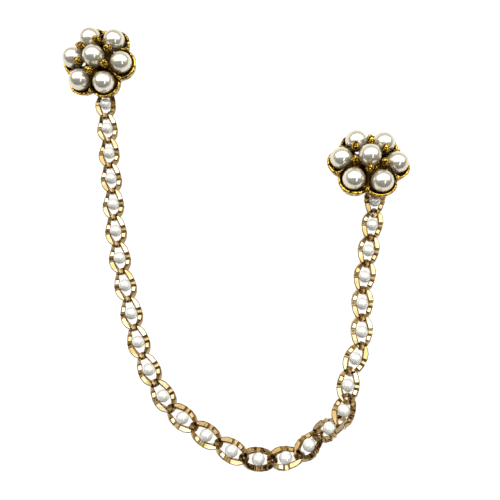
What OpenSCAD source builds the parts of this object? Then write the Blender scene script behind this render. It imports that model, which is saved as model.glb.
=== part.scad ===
// Two pearl flower pins joined by a pearl link chain, lying on a flat surface.
// Each flower is a cast setting that holds seven pearls, with a bar pin behind it.
// Millimetres, +Z up, the origin under the middle of the whole piece, on the surface.

/* [Flower] */
// Diameter of the flower pearls
pearl_d = 7; // [6.6:0.1:7]
// Radius of the circle on which the six petal pearls sit
petal_ring_r = 8.5; // [8.4:0.1:8.8]
// Height of the centre pearl above the petal pearls
centre_rise = 2.6; // [2.2:0.1:3.2]
// Distance of each petal lobe's own centre from the flower's middle
lobe_centre = 7.6; // [7.5:0.1:7.8]
// Radius of a petal lobe at the rim's outside
lobe_r = 5.25; // [5.1:0.05:5.5]
// How far a lobe's wall narrows from the rim down to the floor
lobe_taper = 1; // [0.5:0.05:1.2]
// Thickness of the setting's floor
floor_t = 0.75; // [0.6:0.05:0.9]
// Width of the raised rim
rim_w = 0.9; // [0.7:0.05:1]
// Depth of the rim's middle below the petal pearls' middle
rim_depth = 1.8; // [1.5:0.1:2.2]

/* [Claws] */
// Diameter of the berry stud on each claw
stud_d = 2.3; // [2:0.1:2.5]
// Distance of each berry stud from the flower's middle
stud_ring_r = 5.35; // [5.2:0.05:5.6]
// Height of each berry stud's middle above the petal pearls' middle
stud_rise = 3.4; // [2.8:0.1:3.6]
// Diameter of the granule at each claw's foot
granule_d = 1.5; // [1.3:0.1:1.7]
// Diameter of a claw's arm
claw_d = 0.9; // [0.7:0.05:1]

/* [Bar pin] */
// Length of the bar
bar_l = 16; // [14:0.5:17]
// Width of the bar
bar_w = 2.6; // [2.2:0.1:3]
// Diameter of the pin stem
stem_d = 0.8; // [0.7:0.05:1]
// Depth of the stem's axis below the bar's top face
stem_drop = 2.3; // [2.2:0.05:2.4]

/* [Chain] */
// Outer length of a link
link_l = 11; // [10.9:0.05:11.1]
// Outer width of a link
link_w = 6.5; // [6.4:0.05:6.6]
// Thickness of the link's wire
wire_t = 1; // [0.9:0.05:1]
// Width of the flattened wire along a link's sides
side_w = 1.3; // [1.2:0.05:1.3]
// Twist of a link from its middle to either end, in degrees
link_twist = 42; // [38:1:46]
// Diameter of the chain pearls
chain_pearl_d = 3.8; // [3.5:0.05:3.8]
// Diameter of the cross pin that holds a chain pearl
cross_pin_d = 0.5; // [0.4:0.05:0.6]

/* [Hidden] */
// Facets of the round pieces, and of a link's wire along and around its loop
$fn = 64;
loop_steps = 20;
wire_sides = 8;
// Play between pieces that only touch
play = 0.05;
peg_d = 1;
bore_d = 1.1;
pearl_r = pearl_d / 2;
chain_pearl_r = chain_pearl_d / 2;

// Heights in a flower are counted from the middle of its petal pearls
floor_top = -pearl_r - play;
floor_bottom = floor_top - floor_t;
// The floor's middle, and its round windows, which lie under the inner side of the petal pearls
floor_mid_r = 6.7;
window_d = 1.6;
window_ring_r = 6.7;
// Where the crests of two neighbouring rims cross
rim_mid_r = lobe_r - rim_w / 2;
crossing_r = lobe_centre * cos(30) + sqrt(pow(rim_mid_r, 2) - pow(lobe_centre / 2, 2));
foot_z = 0.9 - rim_depth;
foot_r = crossing_r + 0.8;
// The bar pin's knuckles, and how deep they reach below the petal pearls' middle
knuckle_r = 0.8;
pin_depth = -floor_bottom + play + stem_drop + knuckle_r;

// The ring that takes the chain hangs under the floor
ring_wire_d = 0.8;
ring_r = 1.35;
ring_z = floor_bottom - ring_r - 0.02;

// How each flower lies, a row for each: [turn about its own axis, lean, direction it leans to,
// direction of its ring, distance of its ring from the middle, shift of its bar]
TURN_ON = 0;
LEAN = 1;
TOWARDS = 2;
RING_TO = 3;
RING_OUT = 4;
BAR_SHIFT = 5;
left_pose = [108.6, 10.3, -164, 167, 7.85, -2.5];
right_pose = [112.4, 15.2, 102, 178, 6.1, 0];
// Middle of the left flower, before the whole is centred on the origin
left_xy = [-49.7, 103.1];
// How far the joint of a ring and a link lies from the ring's middle
ring_ahead = 0.88;
// Shift that brings the middle of the whole piece's box to the origin
centring = [6.1, -46.45, 0];

// How the chain lies, from the left flower to the right one, a row for each stretch:
// [links, pitch, heading, turn from link to link, swing to either side, rise of a link, roll]
LINKS = 0;
PITCH = 1;
HEADING = 2;
TURN = 3;
SWING = 4;
RISE = 5;
ROLL = 6;
stretches = [
    [1, 8.75, -83, 0, -2.4, 0, 5],
    [5, 8.75, -82.7, 0.3, 2.4, 0, 0],
    [4, 8.8, -76.5, 1.2, -2, 0, 0],
    [2, 8.65, -62, 5.5, 0, 0, 0],
    [3, 8.35, -36.5, 4.2, 0, 0, 5],
    [1, 7.75, -3.5, 0, 0, 0, 8],
    [1, 8, 9.5, 0, 0, 1.85, 20],
    [1, 7.85, 46.5, 0, 0, -0.1, 28.5],
    [1, 7, 27.5, 0, 0, 0.65, 39.5],
    [1, 7.05, 69, 0, 0, -2.15, 13.5],
    [1, 7.9, 82, 0, 0, -0.25, 12.5],
    [1, 8.3, 62.5, 0, 0, 0, 8],
    [2, 8.35, 86, 0, 0, 0, 0],
    [3, 8.35, 79, 0, 0, 0, 0],
    [1, 7.4, 86.5, 0, 0, 1.65, -5]
];

function turn_z(p, a) = [p.x * cos(a) - p.y * sin(a), p.x * sin(a) + p.y * cos(a), p.z];
function turn_y(p, a) = [p.x * cos(a) + p.z * sin(a), p.y, p.z * cos(a) - p.x * sin(a)];
// A point of a flower, turned and leaned as the flower lies
function leaned(p, pose) =
    turn_z(turn_y(turn_z(p, pose[TURN_ON] - pose[TOWARDS]), pose[LEAN]), pose[TOWARDS]);
// Height at which a leaning flower rests on the edges of its pin's knuckles
function rest_height(pose) = pin_depth * cos(pose[LEAN]) + bar_w / 2 * sin(pose[LEAN]);
function ring_local(pose) =
    [pose[RING_OUT] * cos(pose[RING_TO]), pose[RING_OUT] * sin(pose[RING_TO]), ring_z];
function direction(heading, climb) =
    [cos(climb) * cos(heading), cos(climb) * sin(heading), sin(climb)];

// One entry for each link: [pitch, heading, climb, roll]
links = [for (s = stretches, i = [0 : s[LINKS] - 1]) [
    s[PITCH],
    s[HEADING] + s[TURN] * i + s[SWING] * (i % 2 == 0 ? 1 : -1),
    asin(s[RISE] / s[PITCH]),
    s[ROLL]
]];
link_count = len(links);
function step(i) = links[i][0] * direction(links[i][1], links[i][2]);
function from_ring(i) = ring_ahead * direction(links[i][1], 0);

// The left flower's ring sets where the chain starts, and the chain's end sets the right flower
left_ring = leaned(ring_local(left_pose), left_pose);
left_at = [left_xy.x, left_xy.y, rest_height(left_pose)];
chain_start = [left_xy.x + left_ring.x, left_xy.y + left_ring.y, chain_pearl_r] + from_ring(0);
joints = [for (i = 0, p = chain_start; i <= link_count; i = i + 1,
    p = i <= link_count ? p + step(i - 1) : p) p];
right_ring = leaned(ring_local(right_pose), right_pose);
right_end = joints[link_count] + from_ring(link_count - 1) - right_ring;
right_at = [right_end.x, right_end.y, rest_height(right_pose)];

function two_digits(i) = str(i < 10 ? "0" : "", i);
LINK_NAMES = [for (i = [1 : link_count]) str("link_", two_digits(i))];
PEARL_GROUPS = 4;
GROUP_NAMES = [for (g = [1 : PEARL_GROUPS]) str("chain_pearls_", g)];
PETALS = [1 : 6];
SIDES = ["left", "right"];

function pose_of(side) = side == "left" ? left_pose : right_pose;
function place_of(side) = side == "left" ? left_at : right_at;
// The ring stands in line with the link that it takes
function chain_heading(side) = links[side == "left" ? 0 : link_count - 1][1];

// Puts a flower's piece where that flower lies
module lying(side) {
    pose = pose_of(side);
    translate(place_of(side) + centring)
        rotate([0, 0, pose[TOWARDS]]) rotate([0, pose[LEAN], 0])
            rotate([0, 0, pose[TURN_ON] - pose[TOWARDS]]) children();
}

// One petal's raised rim: a wall that leans out, with a round crest, up to its neighbours' crests
module petal_rim() {
    half_angle = atan2(crossing_r / 2, crossing_r * cos(30) - lobe_centre);
    foot_out = lobe_r - lobe_taper;
    translate([lobe_centre, 0, 0]) rotate([0, 0, -half_angle])
        rotate_extrude(angle = 2 * half_angle) union() {
            polygon([
                [foot_out - rim_w, floor_bottom],
                [foot_out, floor_bottom],
                [lobe_r, -rim_depth],
                [lobe_r - rim_w, -rim_depth]
            ]);
            translate([rim_mid_r, -rim_depth]) circle(d = rim_w);
        }
}

// The floor: six discs and a middle, with round windows. The discs are a little thinner than
// the middle, and end inside their petals' walls
module openwork_floor() {
    inset = 0.05;
    difference() {
        union() {
            for (i = [0 : 5]) rotate([0, 0, 60 * i]) translate([lobe_centre, 0, floor_bottom + inset])
                cylinder(r = lobe_r - lobe_taper - 0.5, h = floor_t - 2 * inset);
            translate([0, 0, floor_bottom]) cylinder(r = floor_mid_r, h = floor_t);
        }
        // The fourth petal has no window, because the chain's ring is soldered there
        for (i = [0, 1, 2, 4, 5]) rotate([0, 0, 60 * i])
            translate([window_ring_r, 0, floor_bottom - 1]) cylinder(d = window_d, h = floor_t + 2);
    }
}

// A claw: a granule where two rims cross, an arm between two pearls, and a berry stud
module claw() {
    foot = [foot_r, 0, foot_z];
    head = [stud_ring_r, 0, stud_rise];
    run = head - foot;
    translate(foot) sphere(d = granule_d);
    translate(foot) rotate([0, atan2(run.x, run.z), 0]) {
        cylinder(d = claw_d, h = norm(run));
        translate([0, 0, norm(run)]) sphere(d = stud_d);
    }
}

// The post that raises the centre pearl, with its peg
module centre_post() {
    base_z = floor_bottom + floor_t / 2;
    cone_h = centre_rise - pearl_r - 0.4 - base_z;
    translate([0, 0, base_z]) cylinder(r1 = 2.4, r2 = 1.2, h = cone_h);
    translate([0, 0, base_z]) cylinder(d = peg_d, h = centre_rise - base_z);
}

// The cast setting: floor, rims, pegs, claws and the ring that takes the chain, all one metal
module setting(side) {
    pose = pose_of(side);
    color("goldenrod") union() {
        openwork_floor();
        for (i = [0 : 5]) rotate([0, 0, 60 * i]) {
            petal_rim();
            translate([petal_ring_r, 0, floor_bottom + floor_t / 2])
                cylinder(d = peg_d, h = pearl_r + floor_t / 2);
            rotate([0, 0, 30]) claw();
        }
        centre_post();
        translate(ring_local(pose)) rotate([90, 0, chain_heading(side) - pose[TURN_ON]])
            rotate_extrude() translate([ring_r, 0]) circle(d = ring_wire_d);
    }
}

// The bar pin: bar, hinge knuckle, catch and closed stem, all one plain piece behind the setting
module bar_pin() {
    bar_t = 0.6;
    hinge_x = -bar_l / 2 + 1.2;
    catch_x = bar_l / 2 - 2.4;
    tip_l = 1.2;
    color("darkgoldenrod") union() {
        translate([-bar_l / 2, -bar_w / 2, -bar_t]) cube([bar_l, bar_w, bar_t]);
        for (x = [hinge_x, catch_x]) {
            translate([x, -bar_w / 2, -stem_drop]) rotate([-90, 0, 0]) cylinder(r = knuckle_r, h = bar_w);
            translate([x - knuckle_r, -bar_w / 2, -stem_drop])
                cube([2 * knuckle_r, bar_w, stem_drop - bar_t / 2]);
        }
        translate([hinge_x, 0, -stem_drop]) rotate([0, 90, 0])
            cylinder(d = stem_d, h = catch_x - hinge_x + knuckle_r + tip_l);
        translate([catch_x + knuckle_r + tip_l, 0, -stem_drop]) rotate([0, 90, 0])
            cylinder(d1 = stem_d, d2 = stem_d / 6, h = tip_l);
    }
}

// Under the floor, across the direction in which the flower leans
module on_back(side) {
    pose = pose_of(side);
    translate([0, 0, floor_bottom - play]) rotate([0, 0, pose[TOWARDS] + 90 - pose[TURN_ON]])
        translate([pose[BAR_SHIFT], 0, 0]) children();
}

// A pearl with the blind bore that takes its peg
module peg_pearl() {
    color("ivory") difference() {
        sphere(r = pearl_r);
        translate([0, 0, -2 * pearl_r]) cylinder(d = bore_d, h = 2 * pearl_r + play);
    }
}

module petal_pearl(i) {
    rotate([0, 0, -60 * (i - 1)]) translate([petal_ring_r, 0, 0]) peg_pearl();
}

module centre_pearl() {
    translate([0, 0, centre_rise]) peg_pearl();
}

// A point of a link's wire at angle t round the loop, an oval twisted about the link's length:
// out pushes the point away from the loop's middle, and up out of the oval's own plane
function wire_point(t, out, up) =
    let (
        half_l = (link_l - wire_t) / 2,
        half_w = (link_w - side_w) / 2,
        normal = [cos(t) / half_w, sin(t) / half_l] / norm([cos(t) / half_w, sin(t) / half_l]),
        x = half_w * cos(t) + out * normal.x,
        y = half_l * sin(t) + out * normal.y,
        twist = link_twist * sin(t)
    )
    [x * cos(twist) - up * sin(twist), y, x * sin(twist) + up * cos(twist)];
// The wire is round at the ends of a link and flattened along its sides
function wire_w(t) = wire_t + (side_w - wire_t) * pow(cos(t), 2);

// A link: one closed swept loop, with its cross pin soldered in
module link() {
    ring_step = 360 / loop_steps;
    side_step = 360 / wire_sides;
    // An eight-sided wire this much wider has the same section as a round one
    reach = 1.05;
    points = [for (i = [0 : loop_steps - 1], k = [0 : wire_sides - 1])
        let (t = (i + 0.5) * ring_step, a = (k + 0.5) * side_step)
        wire_point(t, reach * wire_w(t) / 2 * cos(a), reach * wire_t / 2 * sin(a))];
    faces = [for (i = [0 : loop_steps - 1], k = [0 : wire_sides - 1], half = [0, 1])
        let (
            j = (i + 1) % loop_steps,
            m = (k + 1) % wire_sides,
            near = i * wire_sides + k,
            far = j * wire_sides + m
        )
        half == 0 ? [near, i * wire_sides + m, far] : [near, far, j * wire_sides + k]];
    pin_l = link_w - side_w;
    color("khaki") union() {
        polyhedron(points = points, faces = faces, convexity = 8);
        translate([-pin_l / 2, 0, 0]) rotate([0, 90, 0]) cylinder(d = cross_pin_d, h = pin_l);
    }
}

// Puts a link, or its pearl, half way between its two joints
module on_chain(i) {
    translate((joints[i] + joints[i + 1]) / 2 + centring)
        rotate([links[i][2], 0, links[i][1] - 90]) rotate([0, -links[i][3], 0]) children();
}

// A chain pearl, bored across for its cross pin
module chain_pearl() {
    color("linen") rotate([0, 90, 0]) difference() {
        sphere(r = chain_pearl_r);
        translate([0, 0, -chain_pearl_d]) cylinder(d = cross_pin_d + 2 * play, h = 2 * chain_pearl_d);
    }
}

module chain_pearls(group) {
    per_group = link_count / PEARL_GROUPS;
    for (i = [per_group * group : per_group * (group + 1) - 1]) on_chain(i) chain_pearl();
}

for (s = SIDES) {
    lying(s) setting(s);
    lying(s) on_back(s) bar_pin();
    lying(s) centre_pearl();
    for (i = PETALS)
        lying(s) petal_pearl(i);
}
for (i = [0 : link_count - 1])
    on_chain(i) link();
for (g = [0 : PEARL_GROUPS - 1])
    chain_pearls(g);
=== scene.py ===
"""A pearl chain lapel pin: two pearl flowers in antiqued gold, joined by a twisted chain with a
pearl in every link. It lies on a white surface, seen steeply from above.
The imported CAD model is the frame. Its pieces are modelled again here with their finish."""

import math

import bmesh
import bpy
from bpy.props import FloatProperty, FloatVectorProperty, IntProperty, PointerProperty
from mathutils import Euler, Matrix, Vector


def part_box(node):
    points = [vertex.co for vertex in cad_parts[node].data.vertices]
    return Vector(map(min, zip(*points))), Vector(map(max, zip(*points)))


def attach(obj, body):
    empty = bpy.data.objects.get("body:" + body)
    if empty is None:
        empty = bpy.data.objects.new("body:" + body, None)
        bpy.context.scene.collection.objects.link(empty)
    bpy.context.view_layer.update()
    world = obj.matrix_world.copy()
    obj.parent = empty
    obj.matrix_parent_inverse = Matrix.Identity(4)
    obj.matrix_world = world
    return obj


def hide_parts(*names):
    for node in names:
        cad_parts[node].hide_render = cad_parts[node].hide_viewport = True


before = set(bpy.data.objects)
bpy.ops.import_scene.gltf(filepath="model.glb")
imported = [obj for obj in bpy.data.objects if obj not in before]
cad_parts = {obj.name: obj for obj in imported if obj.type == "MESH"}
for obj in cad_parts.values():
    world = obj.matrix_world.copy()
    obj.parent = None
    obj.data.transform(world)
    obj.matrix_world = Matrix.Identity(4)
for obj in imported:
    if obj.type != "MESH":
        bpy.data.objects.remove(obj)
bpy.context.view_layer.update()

bl_info = {
    "name": "Pearl chain lapel pin",
    "version": (1, 0, 0),
    "blender": (4, 5, 0),
    "location": "3D View > Sidebar > Pearl pin",
    "description": "Two pearl flowers joined by a pearl link chain",
    "category": "Add Mesh",
}

MM = 0.001
SIDES = ("left", "right")
PETALS = 6
PETAL_TURN = 360 // PETALS
LINKS = 28
PEARL_GROUPS = 4

# The finish for each material slot of the record
FINISHES = {
    "flower_pearl": "flower_pearl_lacquer",
    "chain_pearl": "chain_pearl_lacquer",
    "antique_gold": "antiqued_gold_plate",
    "pale_gold": "pale_gold_plate",
    "plain_gold": "plain_gold_plate",
}

# Where a flower's ring and bar sit, in the flower's own frame, as in the part's source: the
# ring's direction, distance in mm and plane, and the bar's direction and shift in mm
FITTINGS = {
    "left": {"ring_to": 167, "ring_out": 7.85, "ring_plane": -194, "bar_to": -182.6, "bar_shift": -2.5},
    "right": {"ring_to": 178, "ring_out": 6.1, "ring_plane": -25.9, "bar_to": 79.6, "bar_shift": 0},
}

# A link's strip runs straight between these places, in degrees round its oval from the side.
# Past ROUND_FROM it stays round, and past TIP_FROM the next link rests on it
RUN_ENDS = (5, 10, 30, 45)
ROUND_FROM = 58
TIP_FROM = 68

# How wide the strip is there: the place, the sign of X times Y, and the shares by which its
# inner and its outer edge move out. It is wide under the long flats, and thin elsewhere
STRIP_WIDTHS = (
    (10, 1, 0.9, 1.01),
    (10, -1, 0.9, 1.01),
    (30, 1, 0.76, 1.05),
    (30, -1, 0.86, 1.03),
    (45, 1, 0.7, 1.03),
    (45, -1, 0.95, 0.95),
)

# Painted light and shade for each link: how bright its left and right strands and its sides are painted,
# for how the link lies to the light. Below 0 a strand is painted dark. Past the bend the chain is turned so
# that its sides catch the light, and they are painted brighter
LINK_PAINTED_LIGHT = {
    12: (1, 0.6, 0),
    13: (0.25, 0.7, 0),
    14: (0.1, 0.8, 0.1),
    15: (0.3, 0.9, 0.1),
    16: (-0.4, -0.65, 0),
    17: (-0.15, 1, 0),
    18: (0.1, -0.7, 0),
    19: (0.9, 0.3, 0.45),
    20: (0.3, -0.4, 0.1),
    **dict.fromkeys(range(21, LINKS + 1), (1, 1, 0.25)),
}


# ------------ colours and nodes


def srgb(code):
    """An sRGB hex colour as linear red, green, blue and alpha."""
    parts = [int(code[i : i + 2], 16) / 255 for i in (1, 3, 5)]
    return [c / 12.92 if c <= 0.04045 else ((c + 0.055) / 1.055) ** 2.4 for c in parts] + [1]


def add_node(material, kind, inputs=None, **settings):
    """Adds one node. inputs gives each socket a value, or the socket that it is linked from."""
    node = material.node_tree.nodes.new(kind)
    for name, value in settings.items():
        setattr(node, name, value)
    for name, value in (inputs or {}).items():
        if isinstance(value, bpy.types.NodeSocket):
            material.node_tree.links.new(value, node.inputs[name])
        else:
            node.inputs[name].default_value = value
    return node


def new_material(name):
    """An empty node material, and the piece's own space, which its patterns are drawn in."""
    material = bpy.data.materials.new(name)
    material.use_nodes = True
    material.node_tree.nodes.clear()
    return material, add_node(material, "ShaderNodeTexCoord").outputs["Object"]


def set_ramp(node, *stops):
    """Gives a ramp its stops, each a position and a colour."""
    ramp = node.color_ramp
    while len(ramp.elements) > 1:
        ramp.elements.remove(ramp.elements[-1])
    ramp.elements[0].position, ramp.elements[0].color = stops[0]
    for position, colour in stops[1:]:
        ramp.elements.new(position).color = colour


def finished(material, colour, gloss, relief, more):
    """Ends a material. relief gives the values of its bump node, and more those of its shader."""
    bump = add_node(material, "ShaderNodeBump", relief)
    inputs = {"Base Color": colour, "Roughness": gloss, "Normal": bump.outputs["Normal"], **more}
    shader = add_node(material, "ShaderNodeBsdfPrincipled", inputs)
    add_node(material, "ShaderNodeOutputMaterial", {"Surface": shader.outputs["BSDF"]})
    return material


# ------------ finishes


def pearl_lacquer(name, body, warm, rim, essence):
    """Imitation pearl: a bead dipped many times in pearl essence, under clear lacquer. The essence throws
    back a broad, soft, half-metallic highlight, and the lacquer over it a sharper, weaker one. The body is
    cream in clouds. Towards its edge as seen, it is painted in the rim colour: a painted sheen. essence
    says how much of the light the platelets throw back."""
    material, place = new_material(name)
    # Dipping leaves clouds about 3 mm across
    clouds = {"Vector": place, "Scale": 1 / (3 * MM), "Detail": 2, "Roughness": 0.5}
    cloud = add_node(material, "ShaderNodeTexNoise", clouds).outputs["Fac"]
    creamy = add_node(material, "ShaderNodeMix", {0: cloud, 6: body, 7: warm}, data_type="RGBA")
    # Towards the edge as seen, the colour turns to rim: a painted sheen
    edge = add_node(material, "ShaderNodeLayerWeight", {"Blend": 0.35})
    tones = {0: edge.outputs["Facing"], 6: creamy.outputs[2], 7: rim}
    colour = add_node(material, "ShaderNodeMix", tones, data_type="RGBA")
    # The essence's platelets are far too fine to show, so their grain is drawn at 0.25 mm
    platelets = {"Vector": place, "Scale": 1 / (0.25 * MM), "Detail": 1}
    grain = add_node(material, "ShaderNodeTexNoise", platelets).outputs["Fac"]
    gloss = add_node(material, "ShaderNodeMapRange", {"Value": grain, "To Min": 0.15, "To Max": 0.24})
    relief = {"Height": cloud, "Strength": 0.25, "Distance": 0.02 * MM}
    lacquer = {"Metallic": essence, "Coat Weight": 0.7, "Coat Roughness": 0.1}
    return finished(material, colour.outputs[2], gloss.outputs["Result"], relief, lacquer)


def antiqued_gold(name, gold, brown, oxide):
    """Antiqued gold plate on cast brass: the casting is blackened, then rubbed bright where it stands
    proud. The attribute that it reads says how dark a point is: mostly how deep it lies in the casting, and
    in a few places painted shade. Patches of oxide stay in the hollows of the casting, so the gold is
    broken up and never even."""
    material, place = new_material(name)
    # The casting's pits are about 0.3 mm apart, drawn at 0.8 mm so that they show
    pitting = {"Vector": place, "Scale": 1 / (0.8 * MM), "Detail": 4, "Roughness": 0.7}
    pits = add_node(material, "ShaderNodeTexNoise", pitting).outputs["Fac"]
    patchy = {"Value": pits, "From Min": 0.36, "From Max": 0.64, "To Min": -0.6, "To Max": 0.6}
    patches = add_node(material, "ShaderNodeMapRange", patchy).outputs["Result"]
    # This darkness is mostly depth in the casting, and in places painted shade
    depth = add_node(material, "ShaderNodeAttribute", attribute_name="recess_and_shade").outputs["Fac"]
    added = add_node(material, "ShaderNodeMath", {0: depth, 1: patches}, operation="ADD", use_clamp=True)
    oxide_and_shade = added.outputs["Value"]
    colour = add_node(material, "ShaderNodeValToRGB", {"Fac": oxide_and_shade})
    set_ramp(colour, (0.13, gold), (0.32, brown), (0.6, oxide))
    dulled = {"Value": oxide_and_shade, "From Min": 0.1, "From Max": 0.7, "To Min": 0.18, "To Max": 0.5}
    gloss = add_node(material, "ShaderNodeMapRange", dulled)
    relief = {"Height": pits, "Strength": 0.9, "Distance": 0.16 * MM}
    return finished(material, colour.outputs["Color"], gloss.outputs["Result"], relief, {"Metallic": 1})


def diamond_cut_gold(name, bright, deep, wire, grime_and_shade):
    """Pale gold plate on stamped brass links. The cut attribute is 1 on the flats, which a diamond tool
    leaves mirror bright. It falls to 0 on the sides, which stay as stamped and milled and are painted
    brown, partly their own colour and partly painted shade. It is below 0 along the flats' borders, which
    are painted darkest: grime and painted shade. For each link it is also painted up or down as painted
    light and shade. The plate's tone drifts from link to link."""
    material, place = new_material(name)
    cut = add_node(material, "ShaderNodeAttribute", attribute_name="cut").outputs["Fac"]
    drifting = {"Vector": place, "Scale": 1 / (5 * MM), "Detail": 2, "Roughness": 0.6}
    drift = add_node(material, "ShaderNodeTexNoise", drifting).outputs["Fac"]
    # The stamp's milling is about 0.2 mm apart, drawn at 0.6 mm so that it shows
    milled = {"Vector": place, "Scale": 1 / (0.6 * MM), "Detail": 3, "Roughness": 0.7}
    milling = add_node(material, "ShaderNodeTexNoise", milled).outputs["Fac"]
    # Along the flats' borders, where cut is below 0, the gold is painted darkest: grime and painted shade
    grime_and_shade_mask = add_node(material, "ShaderNodeMath", {0: cut, 1: 0.35, 2: milling}, operation="MULTIPLY_ADD")
    side = add_node(material, "ShaderNodeValToRGB", {"Fac": grime_and_shade_mask.outputs["Value"]})
    set_ramp(side, (0.3, grime_and_shade), (0.48, wire))
    # Where the drift is high, the milling shows through the flats as well
    mottle = add_node(material, "ShaderNodeMath", {0: milling, 1: 0.5, 2: drift}, operation="MULTIPLY_ADD")
    flat = add_node(material, "ShaderNodeValToRGB", {"Fac": mottle.outputs["Value"]})
    set_ramp(flat, (0.68, bright), (0.86, deep))
    tones = {0: cut, 6: side.outputs["Color"], 7: flat.outputs["Color"]}
    colour = add_node(material, "ShaderNodeMix", tones, data_type="RGBA")
    gloss = add_node(material, "ShaderNodeMapRange", {"Value": cut, "To Min": 0.36, "To Max": 0.12})
    # The mirror flats still ripple a little
    ripple = add_node(material, "ShaderNodeMapRange", {"Value": cut, "To Min": 0.8, "To Max": 0.22})
    relief = {"Height": milling, "Strength": ripple.outputs["Result"], "Distance": 0.1 * MM}
    return finished(material, colour.outputs[2], gloss.outputs["Result"], relief, {"Metallic": 1})


def polished_gold(name, bright, dull, stroke, rough):
    """Light gold plate on brass wire or strip, polished. Polishing leaves faint strokes, which
    vary the gloss, and the plate is a little redder and duller where it is thin."""
    material, place = new_material(name)
    worn = {"Vector": place, "Scale": 1 / (1.2 * MM), "Detail": 3, "Roughness": 0.6}
    wear = add_node(material, "ShaderNodeTexNoise", worn)
    colour = add_node(material, "ShaderNodeValToRGB", {"Fac": wear.outputs["Fac"]})
    set_ramp(colour, (0.4, bright), (0.68, dull))
    brushed = {"Vector": place, "Scale": 1 / stroke, "Detail": 2}
    strokes = add_node(material, "ShaderNodeTexNoise", brushed).outputs["Fac"]
    rubbed = {"Value": strokes, "To Min": rough * 0.6, "To Max": rough * 1.4}
    gloss = add_node(material, "ShaderNodeMapRange", rubbed)
    relief = {"Height": strokes, "Strength": 0.3, "Distance": 0.02 * MM}
    return finished(material, colour.outputs["Color"], gloss.outputs["Result"], relief, {"Metallic": 1})


def white_card(name, colour, glow):
    """The white card that the pin lies on, lit from behind, so that shadows hardly show."""
    material, place = new_material(name)
    fibres = {"Vector": place, "Scale": 1 / (2 * MM), "Detail": 2}
    grain = add_node(material, "ShaderNodeTexNoise", fibres).outputs["Fac"]
    relief = {"Height": grain, "Strength": 0.05, "Distance": 0.02 * MM}
    light = {"Specular IOR Level": 0.1, "Emission Color": colour, "Emission Strength": glow}
    return finished(material, (0.15, 0.15, 0.15, 1), 0.9, relief, light)


def finish_of(slot):
    """The finish of that slot, made the first time that it is asked for."""
    name = FINISHES[slot]
    made = bpy.data.materials.get(name)
    if made:
        return made
    tones = bpy.context.scene.pin_tones
    # The third colour of each pearl finish is painted towards its edge: a painted sheen, and for the flower
    # pearls also a painted reflection of the gold around them
    if slot == "flower_pearl":
        return pearl_lacquer(name, [*tones.pearl, 1], srgb("#ddd5bb"), srgb("#c9b68c"), 0.62)
    if slot == "chain_pearl":
        return pearl_lacquer(name, [*tones.pearl, 1], srgb("#f1efe8"), srgb("#e6e1d4"), 0.25)
    if slot == "antique_gold":
        return antiqued_gold(name, [*tones.gold, 1], srgb("#8c621e"), srgb("#3a2610"))
    if slot == "pale_gold":
        browns = map(srgb, ("#c9ad70", "#aa8c58", "#1e1106"))
        return diamond_cut_gold(name, [*tones.pale_gold, 1], *browns)
    return polished_gold(name, srgb("#e3bd5c"), srgb("#b98d3c"), 0.5 * MM, 0.28)


# ------------ work on meshes


def choose(part):
    """Selects this part alone. The frame leaves the CAD nodes selected."""
    bpy.ops.object.select_all(action="DESELECT")
    bpy.context.view_layer.objects.active = part
    part.select_set(True)


def edit(part):
    """Opens this part alone in edit mode, with all of it selected."""
    choose(part)
    bpy.ops.object.mode_set(mode="EDIT")
    bpy.ops.mesh.select_all(action="SELECT")


def done():
    """Back to object mode."""
    bpy.ops.object.mode_set(mode="OBJECT")


def pick(part, kind, wanted):
    """In edit mode, selects the vertices, edges or faces for which wanted(element) is true."""
    bpy.ops.mesh.select_mode(type=kind)
    bpy.ops.mesh.select_all(action="DESELECT")
    shape = bmesh.from_edit_mesh(part.data)
    for element in {"VERT": shape.verts, "EDGE": shape.edges, "FACE": shape.faces}[kind]:
        if wanted(element):
            element.select_set(True)
    shape.select_flush_mode()
    bmesh.update_edit_mesh(part.data)


def middle(element):
    """The middle of an edge or a face."""
    return sum((v.co for v in element.verts), Vector()) / len(element.verts)


def stretch(x, y, z, about=(0, 0, 0)):
    """Scales what is selected about a point."""
    bpy.ops.transform.resize(value=(x, y, z), center_override=about)


def extrude(x=0.0, y=0.0, z=0.0):
    """Extrudes what is selected by this much."""
    bpy.ops.mesh.extrude_region_move(TRANSFORM_OT_translate={"value": (x, y, z)})


def close_ends():
    """Fills the open ends of a spun shape."""
    bpy.ops.mesh.select_all(action="DESELECT")
    bpy.ops.mesh.select_mode(type="EDGE")
    bpy.ops.mesh.select_non_manifold()
    bpy.ops.mesh.edge_face_add()


def settle():
    """Moves the new primitive's place into its mesh."""
    part = bpy.context.object
    choose(part)
    bpy.ops.object.transform_apply(location=True, rotation=True, scale=True)
    return part


# The turns that lay a rod along X or along Y
ALONG_X = (0, math.pi / 2, 0)
ALONG_Y = (math.pi / 2, 0, 0)


def rod(radius, length, sides, place=(0, 0, 0), turn=(0, 0, 0)):
    """A cylinder about its place, along Z before its turn."""
    bpy.ops.mesh.primitive_cylinder_add(
        vertices=sides, radius=radius, depth=length, location=place, rotation=turn
    )
    return settle()


def disc(radius, low, high, sides, x=0.0):
    """An upright cylinder from low to high."""
    return rod(radius, high - low, sides, place=(x, 0, (low + high) / 2))


def block(size, place):
    """A box about its place."""
    bpy.ops.mesh.primitive_cube_add(size=1, location=place, scale=size)
    return settle()


def cone(low_radius, high_radius, low, high, sides):
    """An upright cone from low to high."""
    bpy.ops.mesh.primitive_cone_add(
        vertices=sides,
        radius1=low_radius,
        radius2=high_radius,
        depth=high - low,
        location=(0, 0, (low + high) / 2),
    )
    return settle()


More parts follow.
